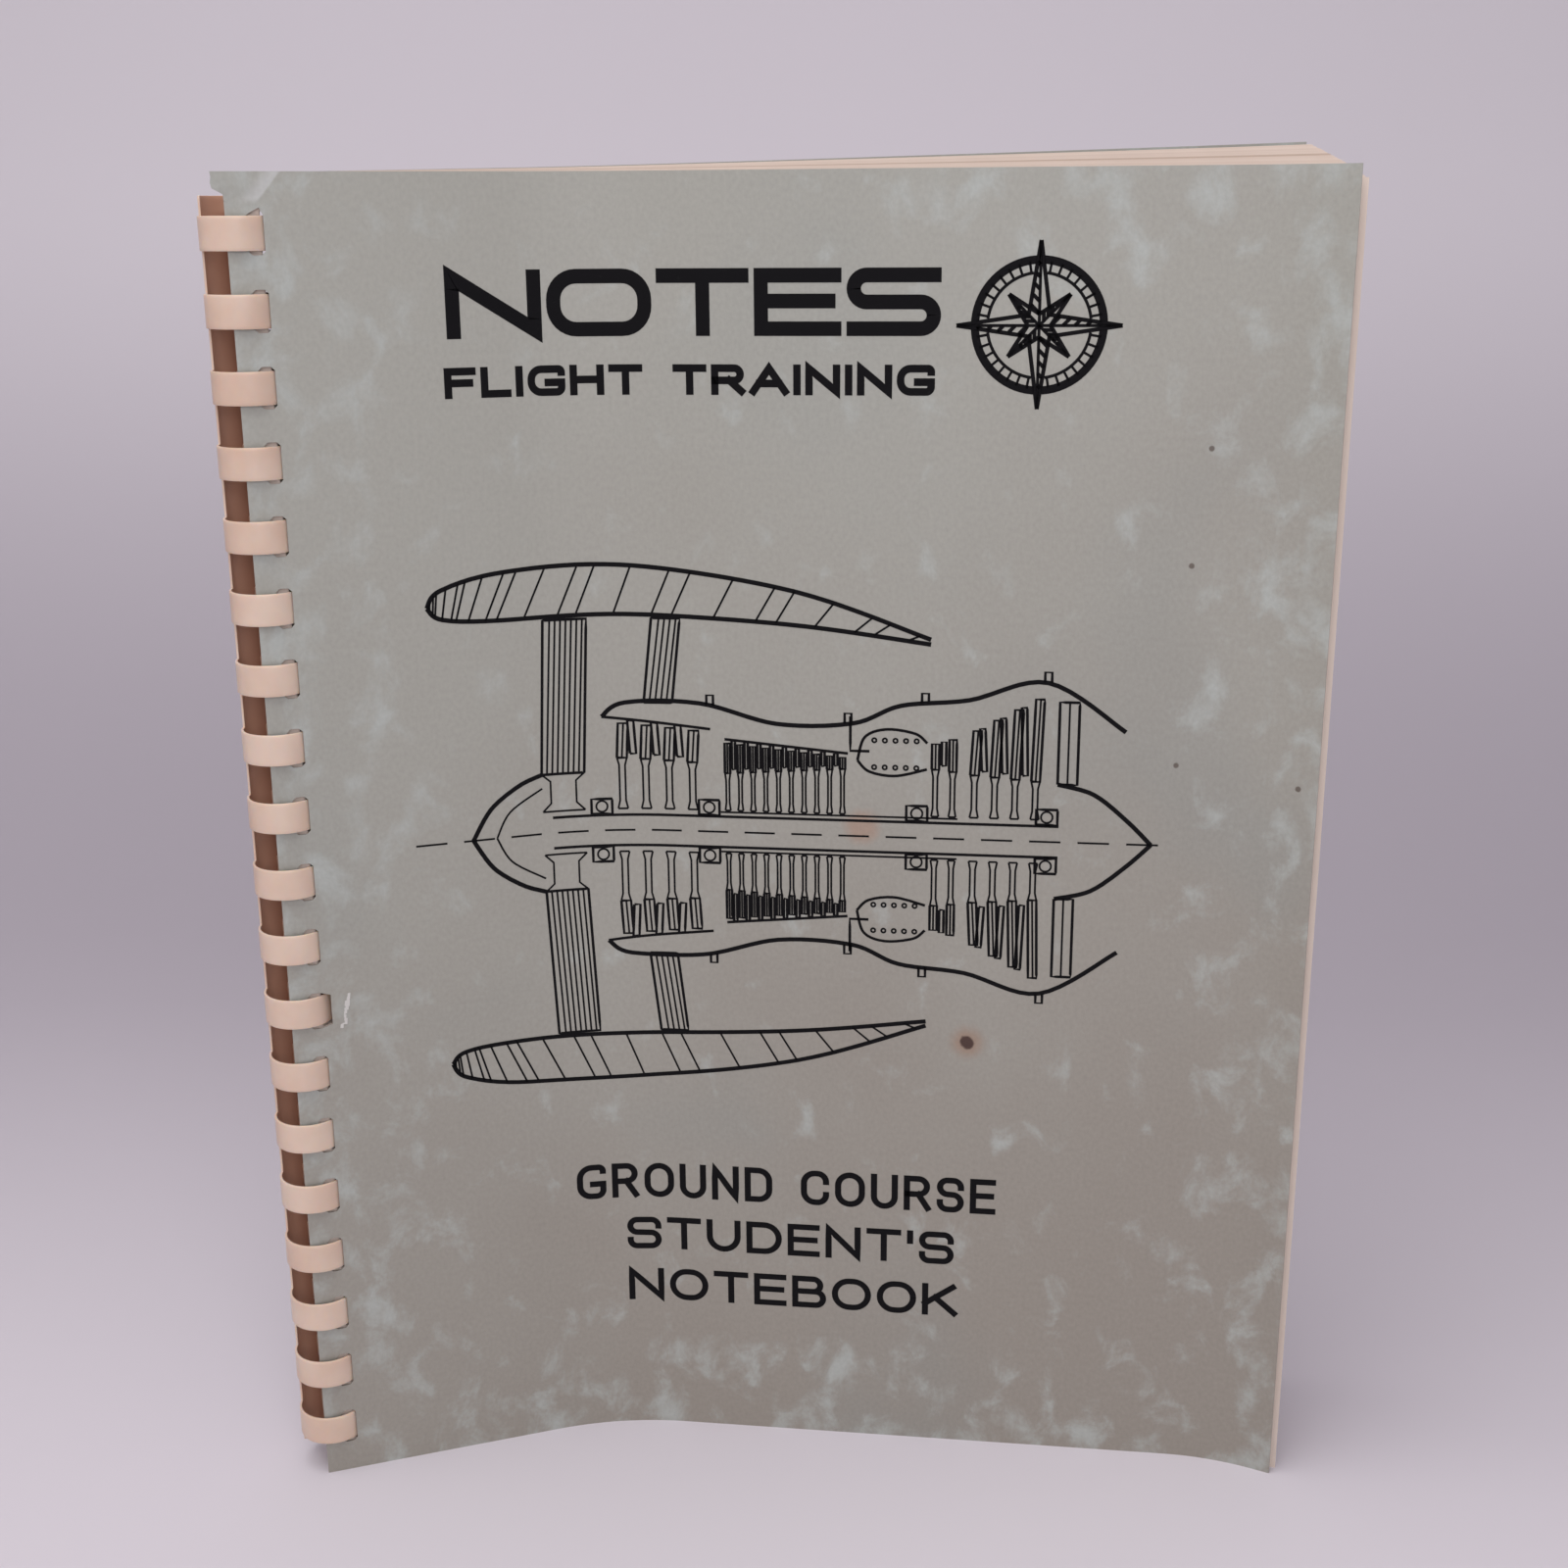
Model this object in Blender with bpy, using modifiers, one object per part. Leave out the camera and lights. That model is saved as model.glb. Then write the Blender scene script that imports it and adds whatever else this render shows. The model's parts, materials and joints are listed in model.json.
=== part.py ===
"""Comb-bound training notebook, US Letter size, standing upright on its bottom edges.

Frame: +X to the right of the front cover, +Y towards the back cover, +Z up. Metres.
The origin is at the centre of the bounding box's foot. Every sheet turns about the comb's own axis.
"""
import bpy
import bmesh
import math

MM = 0.001

# Sheets: US Letter, 19 slots at the comb pitch of 9/16 in
SHEET_W = 215.9
SHEET_H = 279.4
RINGS = 19
PITCH = 14.2875
SLOT_H = 8.0
SLOT_NEAR = 3.8
SLOT_FAR = 6.9

# Comb: 9/16 in size, one strip of plastic with a backbone and 19 curled fingers
COMB_R = 6.9
COMB_WALL = 0.5
COMB_LENGTH = 271.0
FINGER_H = 6.4
SPINE_REAR = 106.0
SPINE_FRONT = 180.0
FINGER_TAPER_START = 446.0
FINGER_TIP = 488.0
TIP_R = 6.24

# Stack: distance of each sheet in front of the comb's axis, and where its edge starts along the sheet
COVER_T = 0.30
TITLE_T = 0.15
BUNDLE_T = 0.35
BUNDLES = 18
FRONT_D, FRONT_EDGE = 5.9, -2.3
TITLE_D, TITLE_EDGE = 5.1, 0.1
BUNDLE_D0, BUNDLE_STEP = 4.65, 0.53
BACK_D, BACK_EDGE = -4.95, -0.5

# Bow: the sheets leave the comb heading back, then follow flat stretches joined by round bends. Each bend:
# where it starts and ends along the sheet (mm), the front cover's turn and the back cover's (degrees towards
# the back). The sheets between the covers share out the difference, which fans them.
BOUND_HEADING = 20.0
BENDS = [(12, 50, 0, 8), (50, 80, -25, -25), (190, 210, -20, -8)]
BEND_STEP = 5.0


def heading(u, share):
    """Heading in radians at u mm from the comb's axis; share is 0 on the front cover, 1 on the back."""
    angle = BOUND_HEADING
    for start, end, front_turn, back_turn in BENDS:
        along = min(max((u - start) / (end - start), 0.0), 1.0)
        angle += along * (front_turn + share * (back_turn - front_turn))
    return math.radians(angle)


def bend_columns():
    """Places along the sheet where the flat strips that stand for its bends meet."""
    places = set()
    for start, end, front_turn, back_turn in BENDS:
        steps = math.ceil(max(abs(front_turn), abs(back_turn)) / BEND_STEP)
        places.update(start + (end - start) * i / steps for i in range(steps + 1))
    return sorted(places)


def sheet_curve(distance, edge):
    """Plan of one sheet as (x, y) in mm at its slots and bends, with the comb's axis at (0, 0)."""
    share = (FRONT_D - distance) / (FRONT_D - BACK_D)
    columns = [edge, edge + SLOT_NEAR, edge + SLOT_FAR] + bend_columns() + [edge + SHEET_W]
    angle = heading(0.0, share)
    x = distance * math.sin(angle) + edge * math.cos(angle)
    y = -distance * math.cos(angle) + edge * math.sin(angle)
    points = [(x, y)]
    for u0, u1 in zip(columns, columns[1:]):
        angle = heading((u0 + u1) / 2, share)
        x += (u1 - u0) * math.cos(angle)
        y += (u1 - u0) * math.sin(angle)
        points.append((x, y))
    return points


def ring_height(i):
    return SHEET_H / 2 + (i - (RINGS - 1) / 2) * PITCH


def grid_object(name, plan, heights, keep, thickness, colour, roughness):
    """A grid bent to the plan points, without the cells that keep() refuses, made solid."""
    columns, rows = len(plan) - 1, len(heights) - 1
    bm = bmesh.new()
    bmesh.ops.create_grid(bm, x_segments=columns, y_segments=rows, size=0.5)
    unwanted = []
    for face in bm.faces:
        centre = face.calc_center_median()
        column = math.floor((centre.x + 0.5) * columns)
        row = math.floor((centre.y + 0.5) * rows)
        if not keep(column, (heights[row] + heights[row + 1]) / 2):
            unwanted.append(face)
    for v in bm.verts:
        x, y = plan[round((v.co.x + 0.5) * columns)]
        v.co = (x * MM, y * MM, heights[round((v.co.y + 0.5) * rows)] * MM)
    bmesh.ops.delete(bm, geom=unwanted, context='FACES')
    bmesh.ops.dissolve_limit(bm, angle_limit=math.radians(0.02), verts=bm.verts[:], edges=bm.edges[:])
    bmesh.ops.triangulate(bm, faces=bm.faces[:])
    mesh = bpy.data.meshes.new(name)
    bm.to_mesh(mesh)
    bm.free()
    obj = bpy.data.objects.new(name, mesh)
    parts.objects.link(obj)
    solid = obj.modifiers.new("thickness", 'SOLIDIFY')
    solid.thickness = thickness * MM
    solid.offset = 0.0
    solid.use_even_offset = True
    material = bpy.data.materials.new(name)
    material.use_nodes = True
    shader = material.node_tree.nodes["Principled BSDF"]
    shader.inputs["Base Color"].default_value = (*colour, 1.0)
    shader.inputs["Roughness"].default_value = roughness
    mesh.materials.append(material)
    return obj


def in_slot(z):
    return any(abs(z - ring_height(i)) < SLOT_H / 2 for i in range(RINGS))


def in_finger(z):
    return any(abs(z - ring_height(i)) < FINGER_H / 2 for i in range(RINGS))


def punched_sheet(name, distance, edge, thickness, colour):
    """One punched sheet or bundle of sheets, bent over its width and straight up its height."""
    heights = [0.0]
    for i in range(RINGS):
        heights += [ring_height(i) - SLOT_H / 2, ring_height(i) + SLOT_H / 2]
    heights.append(SHEET_H)
    return grid_object(name, sheet_curve(distance, edge), heights,
                       lambda c, z: not (c == 1 and in_slot(z)), thickness, colour, 0.75)


for old in list(bpy.data.objects):
    bpy.data.objects.remove(old, do_unlink=True)
parts = bpy.data.collections.new("comb_bound_notebook")
bpy.context.scene.collection.children.link(parts)

# Comb: backbone from its rear edge round the back left to its front edge, then the fingers round the
# front and right to the back, where their tips tuck inside the backbone
spine_angles = [SPINE_REAR + (SPINE_FRONT - SPINE_REAR) * i / 6 for i in range(7)]
finger_angles = [SPINE_FRONT + (FINGER_TAPER_START - SPINE_FRONT) * i / 16 for i in range(1, 17)]
tip_angles = [FINGER_TAPER_START + (FINGER_TIP - FINGER_TAPER_START) * i / 4 for i in range(1, 5)]
comb_plan = []
for a in spine_angles + finger_angles + tip_angles:
    inward = min(1.0, max(0.0, (a - FINGER_TAPER_START) / 20.0))
    radius = COMB_R - (COMB_R - TIP_R) * inward
    comb_plan.append((radius * math.cos(math.radians(a)), radius * math.sin(math.radians(a))))
comb_heights = [(SHEET_H - COMB_LENGTH) / 2]
for i in range(RINGS):
    comb_heights += [ring_height(i) - FINGER_H / 2, ring_height(i) + FINGER_H / 2]
comb_heights.append((SHEET_H + COMB_LENGTH) / 2)
grid_object("comb_binding", comb_plan, comb_heights,
            lambda c, z: c < len(spine_angles) - 1 or in_finger(z), COMB_WALL, (0.62, 0.45, 0.36), 0.35)

# Covers, title leaf and the leaves in bundles of three or four
punched_sheet("front_cover", FRONT_D, FRONT_EDGE, COVER_T, (0.33, 0.31, 0.27))
punched_sheet("title_leaf", TITLE_D, TITLE_EDGE, TITLE_T, (0.72, 0.58, 0.48))
for k in range(BUNDLES):
    d = BUNDLE_D0 - BUNDLE_STEP * k
    far = math.sqrt((COMB_R + COMB_WALL / 2) ** 2 - d * d) - SLOT_FAR + 0.25
    punched_sheet("leaves_%02d" % (k + 1), d, max(0.3, far), BUNDLE_T, (0.78, 0.66, 0.55))
punched_sheet("back_cover", BACK_D, BACK_EDGE, COVER_T, (0.30, 0.28, 0.25))

# Every object's own origin is on the comb's axis, which the sheets turn about. They move together so
# that the world origin is at the centre of the bounding box's foot.
graph = bpy.context.evaluated_depsgraph_get()
corners = []
for obj in parts.objects:
    corners += [v.co.copy() for v in obj.evaluated_get(graph).data.vertices]
axis_x = -(min(v.x for v in corners) + max(v.x for v in corners)) / 2
axis_y = -(min(v.y for v in corners) + max(v.y for v in corners)) / 2
for obj in parts.objects:
    obj.location = (axis_x, axis_y, 0.0)
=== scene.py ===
"""Comb-bound training notebook: look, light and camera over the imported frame. Metres, +Z up."""
import bpy
import bmesh
import json
import math
import random
import numpy as np
from mathutils import Matrix, Vector


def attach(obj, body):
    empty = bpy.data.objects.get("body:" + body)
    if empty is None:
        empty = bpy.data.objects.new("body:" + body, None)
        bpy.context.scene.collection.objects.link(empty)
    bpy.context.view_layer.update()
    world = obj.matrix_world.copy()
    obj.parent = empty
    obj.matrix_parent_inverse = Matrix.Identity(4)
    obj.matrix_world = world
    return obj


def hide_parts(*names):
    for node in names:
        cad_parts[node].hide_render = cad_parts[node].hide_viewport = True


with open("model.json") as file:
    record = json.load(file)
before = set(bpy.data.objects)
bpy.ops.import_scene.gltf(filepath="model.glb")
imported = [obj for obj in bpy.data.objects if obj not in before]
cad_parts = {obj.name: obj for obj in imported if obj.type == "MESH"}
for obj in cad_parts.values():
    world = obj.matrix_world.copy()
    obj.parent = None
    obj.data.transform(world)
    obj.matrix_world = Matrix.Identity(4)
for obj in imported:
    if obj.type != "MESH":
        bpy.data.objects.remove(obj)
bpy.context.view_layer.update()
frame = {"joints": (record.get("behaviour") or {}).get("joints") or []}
MM = 0.001

# ---------------------------------------------------------------- sheets
SHEET_W, SHEET_H = 215.9, 279.4
RINGS, PITCH = 19, 14.2875
SLOT_H, SLOT_NEAR, SLOT_FAR = 8.0, 3.8, 6.9
COMB_R, COMB_WALL = 6.9, 0.5
FRONT_D, FRONT_EDGE = 5.9, -2.3
TITLE_D, TITLE_EDGE = 5.1, 0.1
BUNDLE_D0, BUNDLE_STEP, BUNDLES = 4.65, 0.53, 18
BACK_D, BACK_EDGE = -4.95, -0.5
# Bow: heading at the bound edge, then round bends as (start, end, front cover's turn, back cover's turn)
BOUND_HEADING = 20.0
BENDS = [(12, 50, 0, 8), (50, 80, -25, -25), (190, 210, -20, -8)]

axis = Vector(next(j for j in frame["joints"] if j["name"] == "front_cover_hinge")["pos_m"])
axis.z = 0.0


def heading(u, share):
    """Heading in radians at u mm from the comb's axis; share is 0 on the front cover, 1 on the back."""
    angle = BOUND_HEADING
    for start, end, front_turn, back_turn in BENDS:
        along = min(max((u - start) / (end - start), 0.0), 1.0)
        angle += along * (front_turn + share * (back_turn - front_turn))
    return math.radians(angle)


class Sheet:
    """The bow of one sheet: point(u, v) is u mm from the bound edge and v mm above the foot."""

    def __init__(self, distance, edge):
        share = (FRONT_D - distance) / (FRONT_D - BACK_D)
        step = 0.5
        angle = heading(0.0, share)
        x = distance * math.sin(angle) + edge * math.cos(angle)
        y = -distance * math.cos(angle) + edge * math.sin(angle)
        self.step, self.table = step, []
        for i in range(int(SHEET_W / step) + 2):
            self.table.append((x, y, heading(edge + i * step, share)))
            mid = heading(edge + (i + 0.5) * step, share)
            x += step * math.cos(mid)
            y += step * math.sin(mid)

    def at(self, u):
        if u < 0:
            x, y, a = self.table[0]
            return x + u * math.cos(a), y + u * math.sin(a), a
        i = min(int(u / self.step), len(self.table) - 2)
        t = u / self.step - i
        p, q = self.table[i], self.table[i + 1]
        return tuple(a + (b - a) * t for a, b in zip(p, q))

    def point(self, u, v, lift=0.0):
        x, y, a = self.at(u)
        return axis + Vector((x + lift * math.sin(a), y - lift * math.cos(a), v)) * MM


def ring_height(i):
    """Height of ring i, counted from the top."""
    return SHEET_H / 2 + ((RINGS - 1) / 2 - i) * PITCH


def new_object(name, bm, material, smooth=35):
    mesh = bpy.data.meshes.new(name)
    bm.to_mesh(mesh)
    bm.free()
    mesh.materials.append(material)
    for p in mesh.polygons:
        p.use_smooth = True
    mesh.set_sharp_from_angle(angle=math.radians(smooth))
    obj = bpy.data.objects.new(name, mesh)
    bpy.context.scene.collection.objects.link(obj)
    return obj


def solidify(obj, thickness, bevel=0.0):
    m = obj.modifiers.new("thickness", 'SOLIDIFY')
    m.thickness, m.offset, m.use_even_offset = thickness * MM, 0.0, True
    if bevel:
        b = obj.modifiers.new("edges", 'BEVEL')
        b.width, b.segments, b.limit_method, b.angle_limit = bevel * MM, 2, 'ANGLE', math.radians(60)
        b.use_clamp_overlap = True
    crisp = obj.modifiers.new("crisp_edges", 'EDGE_SPLIT')
    crisp.split_angle = math.radians(42)
    return obj


# ---------------------------------------------------------------- node helpers
class Nodes:
    def __init__(self, name):
        self.mat = bpy.data.materials.new(name)
        self.mat.use_nodes = True
        self.tree = self.mat.node_tree
        self.shader = self.tree.nodes["Principled BSDF"]

    def node(self, kind, inputs=None, **settings):
        n = self.tree.nodes.new(kind)
        for k, v in settings.items():
            setattr(n, k, v)
        for k, v in (inputs or {}).items():
            if isinstance(v, bpy.types.NodeSocket):
                self.tree.links.new(v, n.inputs[k])
            else:
                n.inputs[k].default_value = v
        return n

    def link(self, a, b):
        self.tree.links.new(a, b)

    def maths(self, op, a, b=None, clamp=False):
        n = self.node("ShaderNodeMath", operation=op, use_clamp=clamp)
        for i, v in enumerate((a, b)):
            if v is None:
                continue
            if isinstance(v, bpy.types.NodeSocket):
                self.link(v, n.inputs[i])
            else:
                n.inputs[i].default_value = v
        return n.outputs[0]

    def mix(self, factor, a, b, blend='MIX'):
        n = self.node("ShaderNodeMix", data_type='RGBA', blend_type=blend)
        for i, v in ((0, factor), (6, a), (7, b)):
            if isinstance(v, bpy.types.NodeSocket):
                self.link(v, n.inputs[i])
            else:
                n.inputs[i].default_value = v
        return n.outputs[2]

    def noise(self, vector, scale, detail=3.0, rough=0.5, distort=0.0):
        return self.node("ShaderNodeTexNoise", {"Vector": vector, "Scale": scale, "Detail": detail,
                                                "Roughness": rough, "Distortion": distort}).outputs[0]

    def ramp(self, value, low, high):
        return self.node("ShaderNodeMapRange", {"Value": value, "From Min": low, "From Max": high},
                         interpolation_type='SMOOTHSTEP').outputs[0]


def rgb(r, g, b):
    def lin(c):
        c /= 255.0
        return c / 12.92 if c <= 0.04045 else ((c + 0.055) / 1.055) ** 2.4
    return (lin(r), lin(g), lin(b), 1.0)


def uv_layer(bm):
    return bm.loops.layers.uv.new("sheet")


# ---------------------------------------------------------------- materials
# Marks on the front cover: (from the bound edge, above the foot, core, halo) in mm, colour, strength
SPECKS = random.Random(8)
STAINS = [
    (146, 99, 1.0, 5.0, rgb(150, 112, 84), 0.55),
    (146, 99, 1.2, 1.8, rgb(62, 38, 30), 0.95),
    (123, 147, 1.6, 5.0, rgb(168, 124, 96), 0.45),
]
STAINS += [(SPECKS.uniform(185, 212), SPECKS.uniform(140, 230), 0.4, 0.7, rgb(80, 66, 56), 0.8)
           for _ in range(4)]
# a point on the crease across the torn corner, in the same mm
CREASE_U, CREASE_V = 10.4, 279.3


def card_material(name, shift, marks):
    m = Nodes(name)
    uv = m.node("ShaderNodeUVMap", uv_map="sheet").outputs[0]
    split = m.node("ShaderNodeSeparateXYZ", {0: uv})
    uv = m.node("ShaderNodeVectorMath", {0: uv, 1: (shift, 0.6 * shift, 0.0)}, operation='ADD').outputs[0]
    u, v = split.outputs[0], split.outputs[1]
    # green-grey at the top, browner towards the foot and the fore edge
    down = m.maths('SUBTRACT', 1.0, v)
    brown = m.maths('ADD', m.maths('MULTIPLY', u, 0.30), m.maths('MULTIPLY', down, 0.75))
    brown = m.maths('ADD', brown, m.maths('MULTIPLY', m.maths('SUBTRACT', m.noise(uv, 4.0, 4.0), 0.5), 0.55))
    base = m.mix(m.ramp(brown, 0.15, 1.0), rgb(162, 162, 153), rgb(146, 140, 130))
    cool = m.ramp(m.noise(uv, 2.6, 3.0, 0.5, 0.3), 0.5, 0.75)
    base = m.mix(m.maths('MULTIPLY', cool, 0.35), base, rgb(140, 146, 142))
    # pale bluish rubbed flakes along the bound edge, the fore edge and the corners
    left = m.maths('SUBTRACT', 1.0, m.ramp(u, 0.05, 0.20))
    right = m.ramp(u, 0.80, 1.02)
    foot = m.maths('SUBTRACT', 1.0, m.ramp(v, 0.0, 0.14))
    head = m.maths('MULTIPLY', m.ramp(v, 0.84, 1.0), m.ramp(u, 0.3, 0.9))
    near = m.maths('MAXIMUM', m.maths('MAXIMUM', left, right), m.maths('MAXIMUM', foot, head))
    cloud = m.noise(uv, 23.0, 7.0, 0.60, 0.35)
    patch = m.ramp(m.maths('ADD', cloud, m.maths('MULTIPLY', near, 0.11)), 0.56, 0.80)
    colour = m.mix(m.maths('MULTIPLY', patch, 0.75), base, rgb(176, 182, 177))
    if marks:
        # a pale crease across the torn top corner
        from_u = m.maths('SUBTRACT', m.maths('MULTIPLY', u, SHEET_W), CREASE_U)
        from_v = m.maths('SUBTRACT', m.maths('MULTIPLY', v, SHEET_H), CREASE_V)
        along = m.maths('ADD', m.maths('MULTIPLY', from_u, -0.77), m.maths('MULTIPLY', from_v, 0.64))
        faded = m.maths('SUBTRACT', 1.0, m.ramp(along, 0.6, 3.4))
        fold = m.maths('MULTIPLY', m.ramp(along, -0.3, 0.2), faded)
        fold = m.maths('MULTIPLY', fold, m.ramp(v, 0.978, 0.984))
        colour = m.mix(m.maths('MULTIPLY', fold, 0.6), colour, rgb(196, 198, 196))
    # rust spot with its halo, an orange stain and a few dark specks
    for cu, cv, core, halo, tint, strength in marks:
        du = m.maths('MULTIPLY', m.maths('SUBTRACT', u, cu / SHEET_W), SHEET_W)
        dv = m.maths('MULTIPLY', m.maths('SUBTRACT', v, cv / SHEET_H), SHEET_H)
        off = m.maths('SQRT', m.maths('ADD', m.maths('MULTIPLY', du, du), m.maths('MULTIPLY', dv, dv)))
        ragged = m.maths('SUBTRACT', m.noise(uv, 120.0, 3.0), 0.5)
        off = m.maths('ADD', off, m.maths('MULTIPLY', ragged, core))
        mark = m.maths('SUBTRACT', 1.0, m.ramp(off, core, halo))
        colour = m.mix(m.maths('MULTIPLY', mark, strength), colour, tint)
    fine = m.noise(uv, 260.0, 3.0)
    grain = m.node("ShaderNodeCombineColor", {0: fine, 1: fine, 2: fine}).outputs[0]
    colour = m.mix(0.12, colour, grain, 'OVERLAY')
    m.link(colour, m.shader.inputs["Base Color"])
    m.shader.inputs["Roughness"].default_value = 0.5
    bump = m.node("ShaderNodeBump", {"Height": m.noise(uv, 420.0, 2.0), "Strength": 0.12, "Distance": 0.0002})
    m.link(bump.outputs[0], m.shader.inputs["Normal"])
    return m.mat


def paper_material(name, light, dark):
    m = Nodes(name)
    uv = m.node("ShaderNodeUVMap", uv_map="sheet").outputs[0]
    tone = m.node("ShaderNodeAttribute", attribute_name="tone").outputs["Fac"]
    spots = m.noise(uv, 14.0, 5.0)
    aged = m.maths('ADD', m.maths('MULTIPLY', tone, 0.7), m.maths('MULTIPLY', spots, 0.3))
    colour = m.mix(aged, light, dark)
    m.link(colour, m.shader.inputs["Base Color"])
    m.shader.inputs["Roughness"].default_value = 0.8
    bump = m.node("ShaderNodeBump", {"Height": m.noise(uv, 500.0, 2.0), "Strength": 0.1, "Distance": 0.0002})
    m.link(bump.outputs[0], m.shader.inputs["Normal"])
    return m.mat


def comb_material():
    m = Nodes("comb_plastic")
    coord = m.node("ShaderNodeTexCoord").outputs["Object"]
    spots = m.noise(coord, 60.0, 4.0)
    colour = m.mix(m.ramp(spots, 0.3, 0.7), rgb(226, 200, 182), rgb(214, 184, 164))
    m.link(colour, m.shader.inputs["Base Color"])
    m.shader.inputs["Roughness"].default_value = 0.38
    m.shader.inputs["Subsurface Weight"].default_value = 0.35
    m.shader.inputs["Subsurface Radius"].default_value = (0.004, 0.002, 0.001)
    m.shader.inputs["Subsurface Scale"].default_value = 0.5
    return m.mat


def comb_inside_material():
    """The hollow side of the backbone, a darker shaded copy of the comb's plastic: painted shade, dark brown
    where it curls away behind the sheets, lifted by painted light near the comb's top end.
    """
    m = Nodes("comb_inside_painted_shade")
    coord = m.node("ShaderNodeTexCoord").outputs["Object"]
    split = m.node("ShaderNodeSeparateXYZ", {0: coord})
    # metres across the comb from its axis; the painted shade deepens towards the backbone's free edge, where
    # the inside lies in shadow behind the sheets
    behind = m.ramp(m.maths('SUBTRACT', split.outputs[0], axis.x), -0.0068, -0.0022)
    streak = m.noise(coord, 180.0, 4.0)
    # painted light: the painted shade fades out near the comb's top end, where light from above reaches the
    # inside
    behind = m.maths('MULTIPLY', behind, m.maths('SUBTRACT', 1.0, m.ramp(split.outputs[2], 0.2712, 0.2728)))
    shade = m.maths('ADD', behind, m.maths('MULTIPLY', m.maths('SUBTRACT', streak, 0.5), 0.35), clamp=True)
    # painted shade colours: a shaded copy of the plastic, darkening to dark brown
    m.link(m.mix(shade, rgb(200, 154, 130), rgb(136, 84, 60)), m.shader.inputs["Base Color"])
    m.shader.inputs["Roughness"].default_value = 0.4
    return m.mat


card = card_material("cover_card", 0.0, STAINS)
back_card = card_material("back_cover_card", 3.7, [])
paper = paper_material("leaf_paper", rgb(238, 224, 212), rgb(208, 188, 172))
fibre = paper_material("card_fibres", rgb(205, 203, 198), rgb(180, 178, 172))
comb_plastic = comb_material()
comb_inside_painted_shade = comb_inside_material()


# ---------------------------------------------------------------- punched sheets
def punched(bm, sheet, columns, tone=0.0, rise=0.0, detail=False, outline=None):
    """Adds one punched sheet to bm. rise lifts the top edge towards the fore edge."""
    uv = uv_layer(bm) if not bm.loops.layers.uv else bm.loops.layers.uv[0]
    shade = bm.faces.layers.float.get("tone") or bm.faces.layers.float.new("tone")
    heights = [0.0]
    for i in reversed(range(RINGS)):
        low, high = ring_height(i) - SLOT_H / 2, ring_height(i) + SLOT_H / 2
        heights += [low, low + 0.7, high - 0.7, high] if detail else [low, high]
    heights.append(SHEET_H)
    if detail:
        extra = []
        for a, b in zip(heights, heights[1:]):
            n = max(1, int((b - a) / (0.9 if a > SHEET_H - 8.0 else 3.0)))
            extra += [a + (b - a) * k / n for k in range(1, n)]
        heights = sorted(heights + extra)
    rows = []
    for z in heights:
        row = []
        for u in columns:
            top = z * (1.0 + rise * (u / SHEET_W) ** 1.2 / SHEET_H)
            uu, vv, lift = (u, top, 0.0) if outline is None else outline(u, top)
            row.append((bm.verts.new(sheet.point(uu, vv, lift)), (uu / SHEET_W, vv / SHEET_H)))
        rows.append(row)
    near, far = columns.index(SLOT_NEAR), columns.index(SLOT_FAR)
    for r in range(len(heights) - 1):
        zm = (heights[r] + heights[r + 1]) / 2
        off = min(abs(zm - ring_height(i)) for i in range(RINGS))
        for c in range(len(columns) - 1):
            quad = [rows[r][c], rows[r][c + 1], rows[r + 1][c + 1], rows[r + 1][c]]
            if near <= c < far and off < SLOT_H / 2:
                if not detail or off < SLOT_H / 2 - 0.7 or (near < c < far - 1):
                    continue
                above = min((zm - ring_height(i) for i in range(RINGS)), key=abs) > 0
                left = c == near
                drop = {(True, True): 1, (True, False): 2, (False, True): 0, (False, False): 3}[(left, above)]
                quad = [q for k, q in enumerate(quad) if k != drop]
            face = bm.faces.new([q[0] for q in quad])
            face[shade] = tone
            for loop, q in zip(face.loops, quad):
                loop[uv].uv = q[1]
    bmesh.ops.delete(bm, geom=[v for v in bm.verts if not v.link_faces], context='VERTS')


def bend_columns(step):
    cols = [0.0, SLOT_NEAR, SLOT_FAR]
    u = SLOT_FAR
    while u + step * 1.5 < SHEET_W:
        u += step
        cols.append(u)
    return cols + [SHEET_W - 0.3]


random.seed(7)
leaf_columns = bend_columns(6.5)
LEAVES_EACH = 4
BROWN_BUNDLE = 12
# how far the fore edge's top stands above the sheet's height: first leaf, last leaf, back cover
FRONT_RISE, LEAF_RISE, BACK_RISE = -2.5, 4.8, 5.0
for k in range(BUNDLES):
    bm = bmesh.new()
    for j in range(LEAVES_EACH):
        d = BUNDLE_D0 - BUNDLE_STEP * k - ((j + 0.5) / LEAVES_EACH - 0.5) * BUNDLE_STEP * 0.85
        far = math.sqrt((COMB_R + COMB_WALL / 2) ** 2 - min(abs(d), 5.0) ** 2) - SLOT_FAR + 0.25
        leaf = Sheet(d, max(0.3, far) + random.uniform(-0.12, 0.12))
        share = (BUNDLE_D0 - d) / (BUNDLE_D0 - BACK_D)
        tone = 1.4 if k == BROWN_BUNDLE else random.uniform(0.0, 0.5)
        punched(bm, leaf, leaf_columns, tone=tone, rise=FRONT_RISE + (LEAF_RISE - FRONT_RISE) * share)
    name = "leaves_%02d" % (k + 1)
    obj = solidify(new_object(name + "_paper", bm, paper), 0.09)
    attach(obj, name)
    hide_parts(name)

bm = bmesh.new()
punched(bm, Sheet(TITLE_D, TITLE_EDGE), leaf_columns, tone=0.3, rise=FRONT_RISE)
obj = solidify(new_object("title_paper", bm, paper), 0.1)
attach(obj, "title_leaf")
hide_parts("title_leaf")

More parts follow.
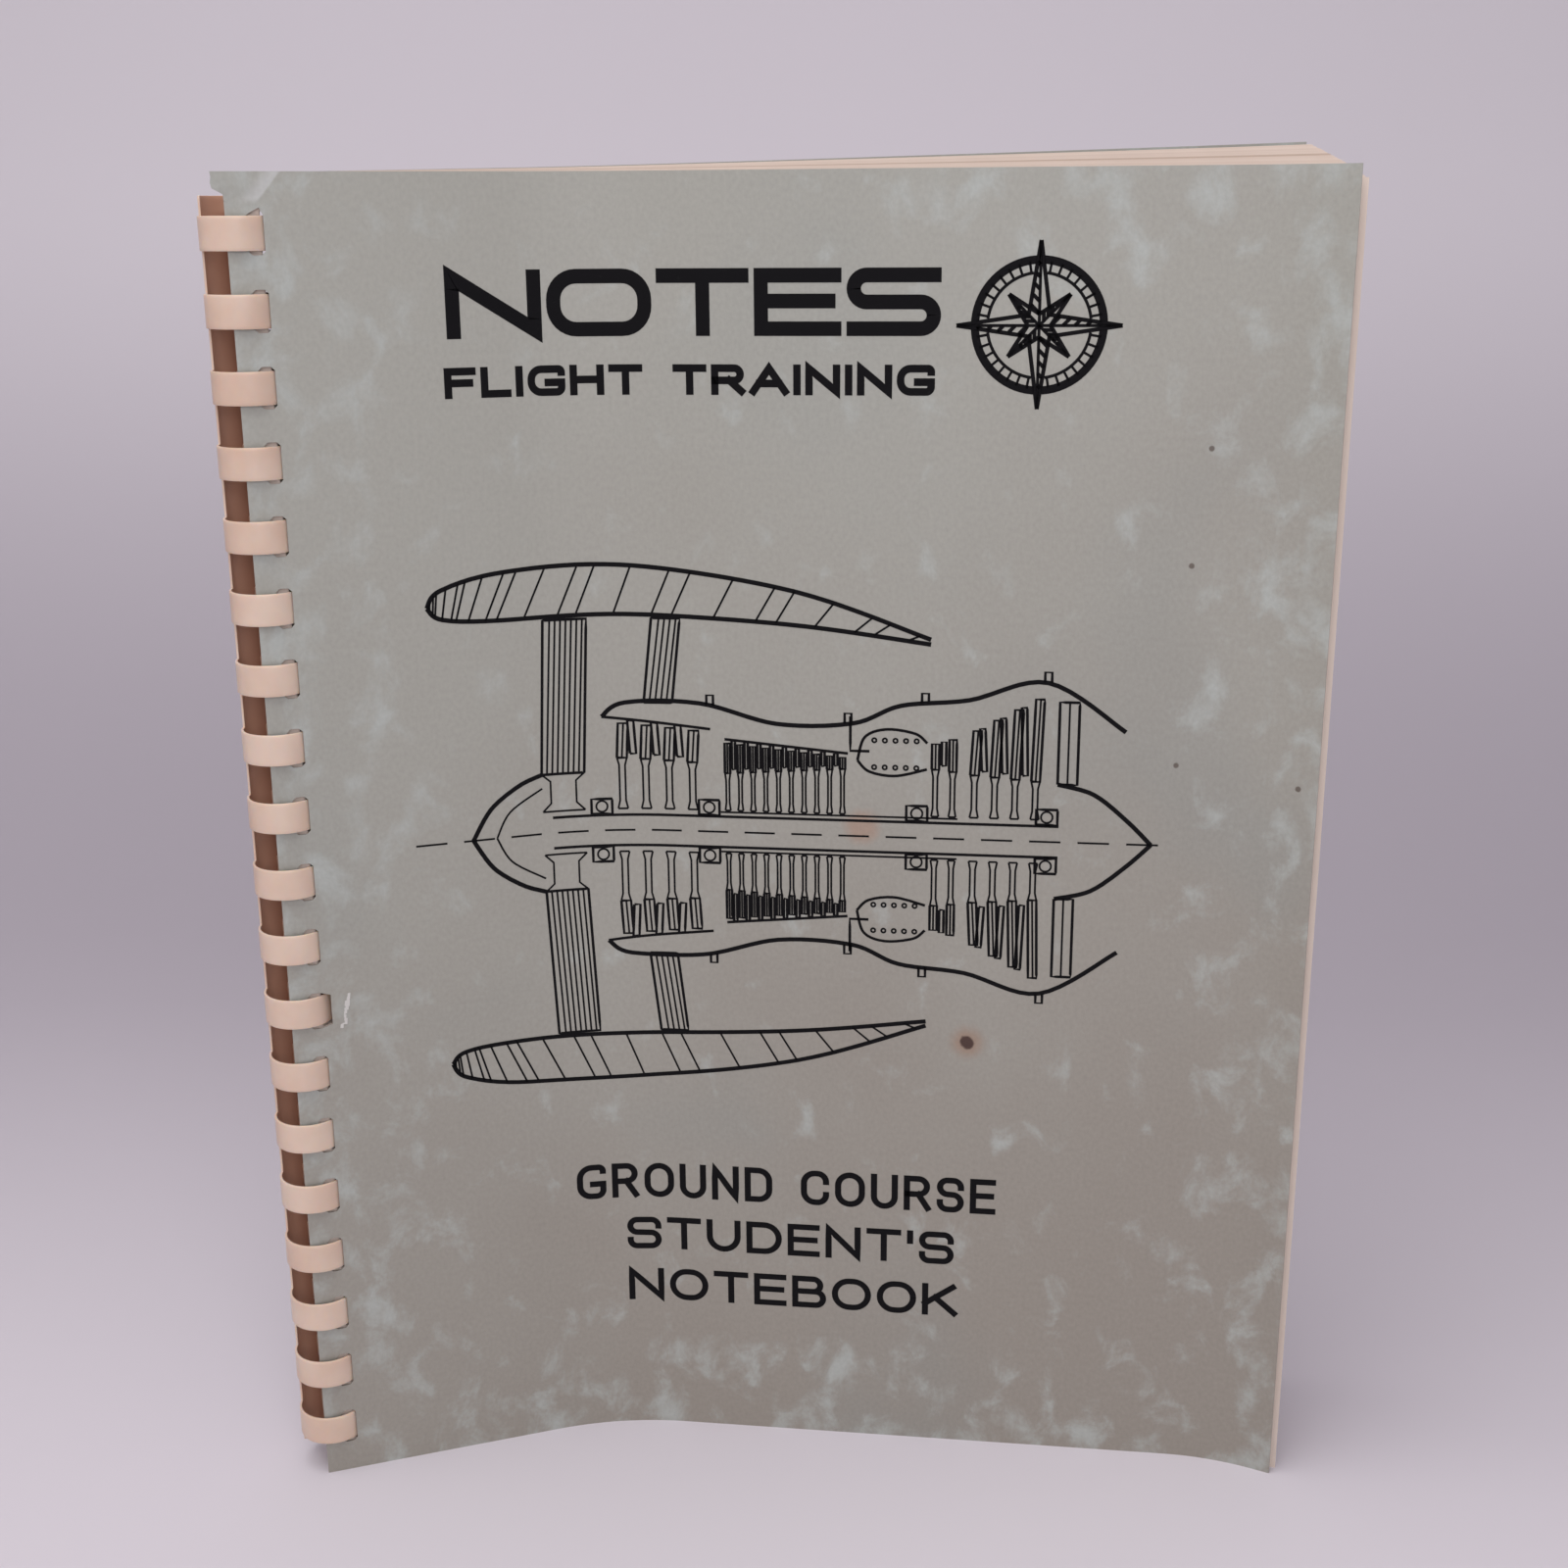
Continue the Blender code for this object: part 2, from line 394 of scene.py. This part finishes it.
cover_columns = [0.0, 1.3, 2.6, SLOT_NEAR, SLOT_NEAR + 0.7, SLOT_FAR - 0.7, SLOT_FAR]
while cover_columns[-1] < SHEET_W - 3.5:
    cover_columns.append(cover_columns[-1] + 2.5)
cover_columns.append(SHEET_W)
front = Sheet(FRONT_D, FRONT_EDGE)
TORN, TEAR_H = ring_height(11), 7.8
TAB_H, TAB_CLEAR = 7.3, 4.1


def torn(u, v):
    """The front cover's damage: a tab pulled out at the top left corner, and the twelfth slot torn wider."""
    below = SHEET_H - v
    if below < TAB_H and u < SLOT_FAR:
        outer = 1.0 - u / SLOT_FAR
        # the tab is pulled only above the comb's top, which it has to clear as the cover turns
        pull = outer ** 0.7 * min(1.0, max(0.0, TAB_CLEAR - below))
        rise = 0.0
        if below > 7.0:
            rise = 0.55 * math.sin(2.3 * u + 0.6) + 0.3 * math.sin(5.1 * u) + 1.6 * outer
        elif below > 5.9:
            rise = 0.8 * outer
        return u - 2.1 * pull - 0.12 * math.sin(v * 2.7) * pull, v + rise, 0.25 * pull
    if abs(v - TORN) < TEAR_H / 2 and abs(u - SLOT_FAR) < 0.1:
        return u + 1.7 + 0.25 * math.sin(v * 4.0), v, 0.0
    if abs(v - TORN) < TEAR_H / 2 and 0 < u - SLOT_FAR < 3.0:
        return u + 0.6, v, 0.12
    return u, v, 0.0


bm = bmesh.new()
punched(bm, front, cover_columns, detail=True, outline=torn)
obj = solidify(new_object("front_cover_card", bm, card), 0.28)
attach(obj, "front_cover")
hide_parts("front_cover")

# white card fibres standing up along the torn slot
bm = bmesh.new()
for k in range(9):
    v = TORN - 4.4 + 0.8 * k
    u = 9.9 + 0.22 * k + random.uniform(-0.2, 0.2)
    w = random.uniform(0.6, 1.1)
    ends = ((u, v, 0.19), (u + w, v - 0.1, 0.24), (u + w + 0.15, v + 1.3, 0.22), (u + 0.2, v + 1.2, 0.2))
    bm.faces.new([bm.verts.new(front.point(*p)) for p in ends])
obj = new_object("torn_fibres", bm, fibre)
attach(obj, "front_cover")

bm = bmesh.new()
punched(bm, Sheet(BACK_D, BACK_EDGE), cover_columns, detail=True, rise=BACK_RISE)
obj = solidify(new_object("back_cover_card", bm, back_card), 0.28)
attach(obj, "back_cover")
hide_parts("back_cover")


# ---------------------------------------------------------------- printing on the front cover
INK_LIFT = 0.14 + 0.035


def ink_material():
    m = Nodes("printing_ink")
    coord = m.node("ShaderNodeTexCoord").outputs["Object"]
    worn = m.ramp(m.noise(coord, 900.0, 4.0), 0.66, 0.85)
    colour = m.mix(m.maths('MULTIPLY', worn, 0.4), rgb(10, 9, 12), rgb(42, 40, 40))
    m.link(colour, m.shader.inputs["Base Color"])
    m.shader.inputs["Roughness"].default_value = 0.75
    m.shader.inputs["Specular IOR Level"].default_value = 0.15
    return m.mat


ink = ink_material()


class Drawing:
    """Pen strokes in sheet millimetres. cover() hides what lies under a nearer surface."""

    def __init__(self):
        self.points, self.owner, self.widths = [], [], []

    def stroke(self, points, width=0.3, closed=False):
        if closed:
            points = list(points) + [points[0]]
        dense = []
        for (x0, y0), (x1, y1) in zip(points, points[1:]):
            n = max(1, int(math.hypot(x1 - x0, y1 - y0) / 0.35))
            dense += [(x0 + (x1 - x0) * i / n, y0 + (y1 - y0) * i / n) for i in range(n)]
        dense.append(points[-1])
        self.points += dense
        self.owner += [len(self.widths)] * len(dense)
        self.widths.append(width)

    def cover(self, polygon):
        """Hides earlier strokes inside a convex polygon given anticlockwise."""
        if not self.points:
            return
        p = np.array(self.points)
        inside = np.ones(len(p), bool)
        for (x0, y0), (x1, y1) in zip(polygon, polygon[1:] + polygon[:1]):
            inside &= (x1 - x0) * (p[:, 1] - y0) - (y1 - y0) * (p[:, 0] - x0) > 0
        keep = ~inside
        # a hidden run splits its stroke in two
        points, owner, widths = [], [], []
        last, name = None, -1
        for q, o, k in zip(self.points, self.owner, keep):
            if not k:
                last = None
                continue
            if o != last:
                widths.append(self.widths[o])
                name += 1
                last = o
            points.append(q)
            owner.append(name)
        self.points, self.owner, self.widths = points, owner, widths

    def runs(self):
        run, last = [], None
        for q, o in zip(self.points, self.owner):
            if o != last and run:
                yield run, self.widths[last]
                run = []
            run.append(q)
            last = o
        if run:
            yield run, self.widths[last]


def hull(points):
    """The convex outline round some points, anticlockwise."""
    points = sorted(set(points))

    def half(seq):
        out = []
        for p in seq:
            while len(out) > 1 and ((out[-1][0] - out[-2][0]) * (p[1] - out[-2][1])
                                    - (out[-1][1] - out[-2][1]) * (p[0] - out[-2][0])) <= 0:
                out.pop()
            out.append(p)
        return out[:-1]
    return half(points) + half(points[::-1])


def simplified(run, tolerance=0.02, longest=3.0):
    """The run without the points that lie on a straight line between their neighbours."""
    keep, start = [run[0]], 0
    for i in range(2, len(run)):
        (ax, ay), (bx, by) = run[start], run[i]
        length = math.hypot(bx - ax, by - ay)
        off = max(abs((bx - ax) * (y - ay) - (by - ay) * (x - ax)) for x, y in run[start + 1:i])
        if length > longest or off > tolerance * max(length, 1e-6):
            start = i - 1
            keep.append(run[start])
    keep.append(run[-1])
    return keep


def print_strokes(name, drawing, weight=1.0):
    """A drawing's strokes as flat ribbons just above the front cover."""
    bm = bmesh.new()
    for run, width in drawing.runs():
        if len(run) < 3:
            continue
        path = simplified(run)
        sides = []
        for i, (x, y) in enumerate(path):
            x0, y0 = path[max(0, i - 1)]
            x1, y1 = path[min(len(path) - 1, i + 1)]
            n = math.hypot(x1 - x0, y1 - y0) or 1.0
            w = width * weight / 2
            dx, dy = -(y1 - y0) / n * w, (x1 - x0) / n * w
            sides.append((bm.verts.new(front.point(x + dx, y + dy, INK_LIFT)),
                          bm.verts.new(front.point(x - dx, y - dy, INK_LIFT))))
        for a, b in zip(sides, sides[1:]):
            bm.faces.new((a[1], b[1], b[0], a[0]))
    obj = new_object(name, bm, ink)
    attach(obj, "front_cover")


# Monoline capitals in a unit box: paths, whose corners are rounded where marked with r
GLYPHS = {
    "A": (0.95, ["0,0 .5,1 1,0", ".2,.34 .8,.34"]),
    "B": (0.78, ["0,.52 0,1 .9,1r .9,.52r 0,.52", "0,.52 1,.52r 1,0r 0,0 0,.52"]),
    "C": (0.86, ["1,.72 1,1r 0,1r 0,0r 1,0r 1,.28"]),
    "D": (0.84, ["0,.5 0,1 1,1r 1,0r 0,0 0,.5"]),
    "E": (0.74, ["1,1 0,1 0,0 1,0", "0,.52 .92,.52"]),
    "F": (0.72, ["1,1 0,1 0,0", "0,.5 .88,.5"]),
    "G": (0.90, ["1,.86 1,1r 0,1r 0,0r 1,0r 1,.42 .56,.42"]),
    "H": (0.80, ["0,0 0,1", "1,0 1,1", "0,.52 1,.52"]),
    "I": (0.0, ["0,0 0,1"]),
    "K": (0.80, ["0,0 0,1", ".95,1 0,.34", ".34,.58 1,0"]),
    "L": (0.68, ["0,1 0,0 1,0"]),
    "N": (0.82, ["0,0 0,1 1,0 1,1"]),
    "O": (0.92, ["0,.5 0,1r 1,1r 1,0r 0,0r 0,.5"]),
    "R": (0.80, ["0,0 0,1 .96,1r .96,.47r 0,.47", ".55,.47 1,0"]),
    "S": (0.80, ["1,.76 1,1r 0,1r 0,.53r 1,.5r 1,0r 0,0r 0,.24"]),
    "s": (0.80, ["1,1 0,1r 0,.5r 1,.5r 1,0r 0,0"]),
    "T": (0.80, ["0,1 1,1", ".5,1 .5,0"]),
    "U": (0.80, ["0,1 0,0r 1,0r 1,1"]),
    "'": (0.0, ["0,1 0,.7"]),
    " ": (0.42, []),
}
# reach of a cubic curve's handles that makes it a quarter circle
QUARTER = 0.5523


def rounded_path(text, x, y, w, h, radius):
    """A glyph path scaled to its place, as points with the marked corners turned into arcs."""
    nodes = []
    for word in text.split():
        soft = word.endswith("r")
        px, py = (float(c) for c in word.rstrip("r").split(","))
        nodes.append((x + px * w, y + py * h, soft))
    out = [nodes[0][:2]]
    for (ax, ay, _), (bx, by, soft), (cx, cy, _) in zip(nodes, nodes[1:], nodes[2:]):
        if not soft:
            out.append((bx, by))
            continue
        la, lc = math.hypot(ax - bx, ay - by), math.hypot(cx - bx, cy - by)
        room_a = la * 0.98 if len(out) == 1 else la / 2
        room_c = lc * 0.98 if (cx, cy) == nodes[-1][:2] else lc / 2
        r = min(radius, room_a, room_c)
        p = (bx + (ax - bx) * r / la, by + (ay - by) * r / la)
        q = (bx + (cx - bx) * r / lc, by + (cy - by) * r / lc)
        # a quarter turn as a cubic curve between the two sides
        c1 = (p[0] + (bx - p[0]) * QUARTER, p[1] + (by - p[1]) * QUARTER)
        c2 = (q[0] + (bx - q[0]) * QUARTER, q[1] + (by - q[1]) * QUARTER)
        for k in range(9):
            t = k / 8
            out.append(tuple((1 - t) ** 3 * p[i] + 3 * t * (1 - t) ** 2 * c1[i] + 3 * t * t * (1 - t) * c2[i]
                             + t ** 3 * q[i] for i in (0, 1)))
    out.append(nodes[-1][:2])
    return out


def lettering(words, left, foot, width, height, pen, gap, radius):
    """Paths of a line of words whose outer edges fill width by height."""
    natural = sum(GLYPHS[c][0] for c in words)
    stretch = (width - pen * len(words) - gap * (len(words) - 1)) / natural
    x, y, h = left + pen / 2, foot + pen / 2, height - pen
    for c in words:
        w = GLYPHS[c][0] * stretch
        yield [rounded_path(p, x, y, w, h, radius) for p in GLYPHS[c][1]]
        x += w + pen + gap


def joined(path, pen):
    """The two sides of a path, half a pen's width away from it, with mitred corners."""
    sides = ([], [])
    n = len(path)
    ring = math.dist(path[0], path[-1]) < 1e-6
    for i, (x, y) in enumerate(path):
        before = path[i - 1] if i else (path[-2] if ring else None)
        after = path[i + 1] if i < n - 1 else (path[1] if ring else None)
        dirs = []
        for a, b in ((before, (x, y)), ((x, y), after)):
            if a and b and math.dist(a, b) > 1e-6:
                l = math.dist(a, b)
                dirs.append(((b[0] - a[0]) / l, (b[1] - a[1]) / l))
        d0, d1 = dirs[0], dirs[-1]
        nx, ny = -(d0[1] + d1[1]), d0[0] + d1[0]
        l = math.hypot(nx, ny) or 1.0
        nx, ny = nx / l, ny / l
        grow = 1.0 / max(0.45, -nx * d0[1] + ny * d0[0])
        for k, s in ((0, 1), (1, -1)):
            sides[k].append((x + s * nx * pen / 2 * grow, y + s * ny * pen / 2 * grow))
    return sides


def print_words(name, words, left, foot, width, height, pen, gap, radius):
    """One line of solid lettering; each stroke of a letter lies a hair above the one before it."""
    bm = bmesh.new()
    for paths in lettering(words, left, foot, width, height, pen, gap, radius):
        for k, path in enumerate(paths):
            fine = [path[0]]
            for a, b in zip(path, path[1:]):
                n = max(1, int(math.dist(a, b) / 2.0))
                fine += [tuple(p + (q - p) * i / n for p, q in zip(a, b)) for i in range(1, n + 1)]
            if math.dist(fine[0], fine[-1]) > 1e-6:
                for end, inner in ((0, 1), (-1, -2)):
                    reach = pen / 2 / math.dist(fine[end], fine[inner])
                    fine[end] = tuple(p + (p - q) * reach for p, q in zip(fine[end], fine[inner]))
            one, two = joined(fine, pen)
            lift = INK_LIFT + 0.004 * k
            rows = [[bm.verts.new(front.point(*p, lift)) for p in pair] for pair in zip(one, two)]
            for a, b in zip(rows, rows[1:]):
                bm.faces.new((a[1], b[1], b[0], a[0]))
    obj = new_object(name, bm, ink)
    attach(obj, "front_cover")


print_words("printed_title", "NOTEs", 40, 248, 98, 13, 2.8, 1.0, 4.5)
print_words("printed_subtitle", "FLIGHT TRAINING", 39, 236.5, 98, 6, 1.5, 0.9, 2.0)
print_words("printed_line_1", "GROUND COURSE", 59, 58, 94, 8.5, 1.4, 1.3, 3.3)
print_words("printed_line_2", "STUDENT'S", 70, 45, 74, 8, 1.4, 1.3, 3.3)
print_words("printed_line_3", "NOTEBOOK", 70, 32, 75, 8, 1.4, 1.3, 3.3)


def ring_points(cx, cy, r, start=0, stop=360, n=72):
    return [(cx + r * math.cos(math.radians(start + (stop - start) * i / n)),
             cy + r * math.sin(math.radians(start + (stop - start) * i / n))) for i in range(n + 1)]


def emblem(cx, cy):
    """A plain compass rose: two rings with ticks between them, and eight points shaded on one side."""
    d = Drawing()

    def at(radius, angle):
        return cx + radius * math.cos(angle), cy + radius * math.sin(angle)

    d.stroke(ring_points(cx, cy, 12.4), 1.6)
    d.stroke(ring_points(cx, cy, 10.0), 0.6)
    for i in range(36):
        a = math.radians(10 * i)
        d.stroke([at(10.2 if i % 9 else 9.4, a), at(12.2, a)], 0.5)
    eighth = math.radians(45)
    points = []
    for i in range(8):
        tip, side = (16.0, 2.9) if i % 2 == 0 else (8.4, 2.2)
        points.append((eighth * i + math.pi / 2, tip, side))
    for a, tip, side in points:
        d.cover(hull([at(tip, a), at(side, a + eighth), (cx, cy), at(side, a - eighth)]))
    for a, tip, side in points:
        p = at(tip, a)
        q = at(side, a + eighth)
        d.stroke([p, q], 0.8)
        for k in range(1, 7):
            t = k / 7
            d.stroke([(cx + (p[0] - cx) * t, cy + (p[1] - cy) * t),
                      (q[0] + (p[0] - q[0]) * t, q[1] + (p[1] - q[1]) * t)], 0.75)
        d.stroke([p, at(side, a - eighth)], 0.8)
        d.stroke([p, (cx, cy)], 0.6)
    print_strokes("printed_emblem", d)


emblem(157.0, 250.0)


# A plain side section of a jet engine, mirrored about its centreline, from a few driving dimensions
ENGINE_LENGTH, FAN_TIP, HUB, SHAFT = 150.0, 46.0, 13.0, 3.4
CENTRE_U, CENTRE_V = 108.0, 145.0
THIN, MEDIUM, THICK = 0.35, 0.5, 0.8


class Section(Drawing):
    """Strokes at (station, radius), each drawn above and below the centreline."""

    def both(self, points, width=MEDIUM, closed=False):
        nose = CENTRE_U - ENGINE_LENGTH / 2
        for side in (1, -1):
            self.stroke([(nose + x, CENTRE_V + side * r) for x, r in points], width, closed)

    def curve(self, knots, width=MEDIUM):
        """A smooth line through its knots."""
        self.both(smooth(knots), width)

    def vane(self, x, chord, root, tip, lean=0.0, ribs=1):
        """One blade row seen from the side, with the lines of the blades behind it."""
        outline = [(x, root), (x + chord, root), (x + chord + lean, tip), (x + lean, tip)]
        self.both(outline, MEDIUM, closed=True)
        for k in range(1, ribs + 1):
            t = k / (ribs + 1)
            self.both([(x + chord * t, root), (x + chord * t + lean * 1.2, tip)], THIN)

    def disc(self, x, chord, rim):
        """The disc that carries a row: a thin web with a broad rim and bore."""
        web, bore = 0.3 * chord, SHAFT + 1.4
        mid = x + chord / 2
        for edge, face in ((x, mid - web), (x + chord, mid + web)):
            self.both([(edge, rim), (face, rim - 1.6), (face, bore + 1.8), (edge, bore)], THIN)
        self.both([(x, bore), (x + chord, bore)], THIN)

    def bearing(self, x, size=2.2):
        low, high = SHAFT + 0.3, SHAFT + 3.6
        self.both([(x - size, low), (x + size, low), (x + size, high), (x - size, high)], MEDIUM, closed=True)
        self.both(ring_points(x, SHAFT + 1.95, 1.2), THIN)


def smooth(knots, steps=8):
    """Points of a smooth curve through all the knots."""
    out = []
    for p0, p1, p2, p3 in zip([knots[0]] + knots, knots, knots[1:], knots[2:] + [knots[-1]]):
        for k in range(steps):
            t = k / steps
            out.append(tuple(0.5 * (2 * b + (c - a) * t + (2 * a - 5 * b + 4 * c - d) * t * t
                                    + (3 * b - a - 3 * c + d) * t ** 3)
                             for a, b, c, d in zip(p0, p1, p2, p3)))
    return out + [knots[-1]]


def blade_rows(e, start, pitch, count, casing, hub, lean=0.0):
    """Rotors with their discs, and a stator between each pair. casing and hub are radii at both ends."""
    for k in range(count):
        t = k / max(1, count - 1)
        tip, root = (r[0] + (r[1] - r[0]) * t for r in (casing, hub))
        x = start + pitch * k
        e.vane(x, 0.42 * pitch, root, tip - 0.5, lean)
        e.disc(x, 0.42 * pitch, root)
        if k < count - 1:
            e.vane(x + 0.56 * pitch, 0.26 * pitch, root + 0.9, tip, -lean, 0)


def engine():
    e = Section()
    # nacelle: outer skin, duct wall and the ribs of its section
    skin = smooth([(0.0, 50.0), (3.0, 53.5), (16.0, 56.5), (42.0, 57.0), (76.0, 52.0), (104.0, 42.5)])
    wall = smooth([(0.0, 50.0), (3.0, 47.5), (14.0, FAN_TIP + 0.6), (42.0, FAN_TIP + 0.8), (76.0, 45.0),
                   (104.0, 41.5)])
    e.both(skin, THICK)
    e.both(wall, THICK)
    for k in range(1, 24):
        i = int(k * (len(skin) - 1) / 24)
        e.both([wall[i], skin[min(i + 1, len(skin) - 1)]], THIN)
    # spinner, fan and outlet guide vanes
    e.curve([(7.0, 0.0), (11.0, 6.5), (17.0, 11.0), (22.0, HUB)], THICK)
    e.curve([(12.0, 0.0), (15.0, 5.5), (22.0, 10.0)], THIN)
    e.vane(22.0, 9.0, HUB, FAN_TIP, 1.5, 7)
    e.disc(22.0, 9.0, HUB)
    e.vane(44.0, 6.0, 28.0, FAN_TIP, 2.0, 4)
    # core casing from the splitter to the core nozzle, with flanges
    e.curve([(35.0, 25.0), (40.0, 28.0), (56.0, 28.0), (72.0, 24.0), (88.0, 24.5), (98.0, 28.5),
             (112.0, 30.0), (128.0, 34.0), (144.0, 24.0)], THICK)
    e.curve([(35.0, 25.0), (42.0, 24.2), (58.0, 22.5)])
    for x, r in ((58.0, 27.6), (87.0, 24.4), (103.0, 29.0), (128.0, 34.0)):
        e.both([(x - 0.7, r), (x - 0.7, r + 2.2), (x + 0.7, r + 2.2), (x + 0.7, r)], MEDIUM)
    # compressors
    blade_rows(e, 38.0, 5.0, 4, (24.0, 22.6), (16.0, 15.2), 0.4)
    blade_rows(e, 61.0, 2.7, 10, (20.0, 17.6), (13.0, 14.6))
    e.both([(61.0, 20.4), (87.0, 18.0)], MEDIUM)
    # annular combustor: liner, cooling holes and fuel nozzle
    e.curve([(89.0, 16.6), (90.5, 21.6), (95.0, 23.4), (101.0, 22.6), (103.5, 20.6)], MEDIUM)
    e.curve([(89.0, 16.6), (91.5, 14.2), (97.0, 13.4), (103.5, 15.0)], MEDIUM)
    for k in range(5):
        e.both(ring_points(92.5 + 2.2 * k, 21.0, 0.45), THIN)
        e.both(ring_points(92.5 + 2.2 * k, 15.2, 0.45), THIN)
    e.both([(87.5, 26.0), (87.5, 18.6), (91.5, 18.6)], MEDIUM)
    # turbines
    blade_rows(e, 104.5, 3.6, 2, (21.0, 22.0), (15.0, 14.6))
    blade_rows(e, 112.5, 4.2, 4, (24.0, 31.0), (14.0, 13.0), 0.5)
    # rear frame, exhaust cone, shafts and bearings
    e.vane(130.5, 4.0, 12.5, 30.0, 0.0, 1)
    e.curve([(130.5, 12.5), (138.0, 10.5), (145.0, 5.0), (ENGINE_LENGTH, 0.0)], THICK)
    e.both([(24.0, SHAFT), (131.0, SHAFT)], MEDIUM)
    e.both([(60.0, SHAFT + 1.0), (110.0, SHAFT + 1.0)], THIN)
    for x in (34.5, 57.5, 101.5, 128.5):
        e.bearing(x)
    # centreline, drawn dashed
    for k in range(16):
        e.stroke([(CENTRE_U - 80.0 + 10.0 * k, CENTRE_V), (CENTRE_U - 73.5 + 10.0 * k, CENTRE_V)], THIN)
    return e


print_strokes("printed_engine", engine(), 1.2)


# ---------------------------------------------------------------- comb
COMB_LENGTH, FINGER_H, FINGER_CORNER, COMB_CHAMFER = 271.0, 6.4, 0.8, 0.8
# degrees round the comb's axis: the backbone's free edge, where fingers start, curl inwards and end
REAR, SPINE, TAPER, TIP = 106.0, 180.0, 446.0, 488.0
CURL_IN, CURL_OVER = 0.66, 20.0
COMB_INSIDE = 1


def comb():
    """The comb's middle surface: a backbone over the whole length, and a finger at every ring."""
    angles = [REAR + (SPINE - REAR) * i / 14 for i in range(15)]
    angles += [SPINE + (TAPER - SPINE) * i / 44 for i in range(1, 45)]
    angles += [TAPER + (TIP - TAPER) * i / 10 for i in range(1, 11)]
    low = (SHEET_H - COMB_LENGTH) / 2
    heights = [low, low + COMB_CHAMFER]
    for i in reversed(range(RINGS)):
        foot, top = ring_height(i) - FINGER_H / 2, ring_height(i) + FINGER_H / 2
        heights += [foot, foot + FINGER_CORNER, top - FINGER_CORNER, top]
    heights += [low + COMB_LENGTH - COMB_CHAMFER, low + COMB_LENGTH]
    bm = bmesh.new()
    rows = []
    for z in heights:
        row = []
        for a in angles:
            t = min(1.0, max(0.0, (a - TAPER) / CURL_OVER))
            r = COMB_R - CURL_IN * t * t * (3 - 2 * t)
            across = Vector((r * math.cos(math.radians(a)), r * math.sin(math.radians(a)), z))
            row.append(bm.verts.new(axis + across * MM))
        rows.append(row)
    last = len(angles) - 2
    for r in range(len(heights) - 1):
        middle = (heights[r] + heights[r + 1]) / 2
        off = min((middle - ring_height(i) for i in range(RINGS)), key=abs)
        for c in range(last + 1):
            if angles[c] > SPINE - 0.1 and abs(off) > FINGER_H / 2:
                continue
            quad = [rows[r][c], rows[r][c + 1], rows[r + 1][c + 1], rows[r + 1][c]]
            if c == last and abs(off) > FINGER_H / 2 - FINGER_CORNER:
                # the tip's corner is cut off
                quad.pop(1 if off < 0 else 2)
            bm.faces.new(quad)
    bmesh.ops.delete(bm, geom=[v for v in bm.verts if not v.link_faces], context='VERTS')
    return bm


obj = solidify(new_object("comb_plastic_strip", comb(), comb_plastic), COMB_WALL, bevel=0.12)
# the hollow inside face gets the shaded copy of the plastic, with painted shade
obj.data.materials.append(comb_inside_painted_shade)
obj.modifiers["thickness"].material_offset = COMB_INSIDE
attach(obj, "comb_binding")
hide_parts("comb_binding")


# ---------------------------------------------------------------- stage, light, camera
def sweep():
    bm = bmesh.new()
    profile = [(-1.6, 0.0), (0.25, 0.0)]
    for i in range(1, 13):
        a = math.radians(90 * i / 12)
        profile.append((0.25 + 0.45 * math.sin(a), 0.45 - 0.45 * math.cos(a)))
    profile.append((0.70, 2.2))
    rows = [[bm.verts.new((x, y, z)) for x in (-2.2, 2.2)] for y, z in profile]
    for a, b in zip(rows, rows[1:]):
        bm.faces.new((a[0], a[1], b[1], b[0]))
    m = Nodes("studio_sweep")
    split = m.node("ShaderNodeSeparateXYZ", {0: m.node("ShaderNodeTexCoord").outputs["Object"]})
    # falls away from the light towards the bend and comes up again on the rising wall
    depth, height = split.outputs[1], split.outputs[2]
    risen = m.maths('SUBTRACT', 1.0, m.ramp(height, 0.01, 0.30))
    uneven = m.maths('SUBTRACT', m.noise(split.outputs[0], 2.0, 2.0), 0.5)
    dim = m.maths('MULTIPLY', m.ramp(depth, -0.12, 0.36), risen)
    dim = m.maths('ADD', dim, m.maths('MULTIPLY', uneven, 0.08))
    m.link(m.mix(dim, rgb(212, 207, 213), rgb(172, 166, 174)), m.shader.inputs["Base Color"])
    m.shader.inputs["Roughness"].default_value = 0.9
    return new_object("studio_sweep", bm, m.mat, smooth=60)


sweep()


def area_light(name, place, target, size, power, colour):
    data = bpy.data.lights.new(name, 'AREA')
    data.shape, data.size, data.energy, data.color = 'DISK', size, power, colour
    obj = bpy.data.objects.new(name, data)
    bpy.context.scene.collection.objects.link(obj)
    obj.location = place
    obj.rotation_euler = (Vector(target) - Vector(place)).to_track_quat('-Z', 'Y').to_euler()


area_light("top_soft", (-0.25, -0.35, 1.25), (0.0, 0.0, 0.1), 1.1, 11.0, (1.0, 0.97, 0.97))
area_light("front_fill", (0.2, -1.3, 0.7), (0.0, 0.0, 0.14), 1.0, 7.0, (0.98, 0.96, 1.0))
world = bpy.data.worlds.new("studio")
world.use_nodes = True
world.node_tree.nodes["Background"].inputs[0].default_value = rgb(226, 220, 228)
world.node_tree.nodes["Background"].inputs[1].default_value = 0.35
bpy.context.scene.world = world

camera = bpy.data.objects.new("camera", bpy.data.cameras.new("camera"))
camera.data.lens, camera.data.sensor_width = 45.0, 36.0
camera.data.clip_start = 0.01
# a little above the book, looking down 16 degrees and 2 degrees to the left
turn = (Matrix.Rotation(math.radians(2.2), 4, 'Z') @ Matrix.Rotation(math.radians(90 - 16.2), 4, 'X')
        @ Matrix.Rotation(math.radians(-0.4), 4, 'Z'))
camera.matrix_world = Matrix.Translation((0.015, -0.398, 0.271)) @ turn
bpy.context.scene.collection.objects.link(camera)
bpy.context.scene.camera = camera
bpy.context.scene.view_settings.view_transform = 'Standard'
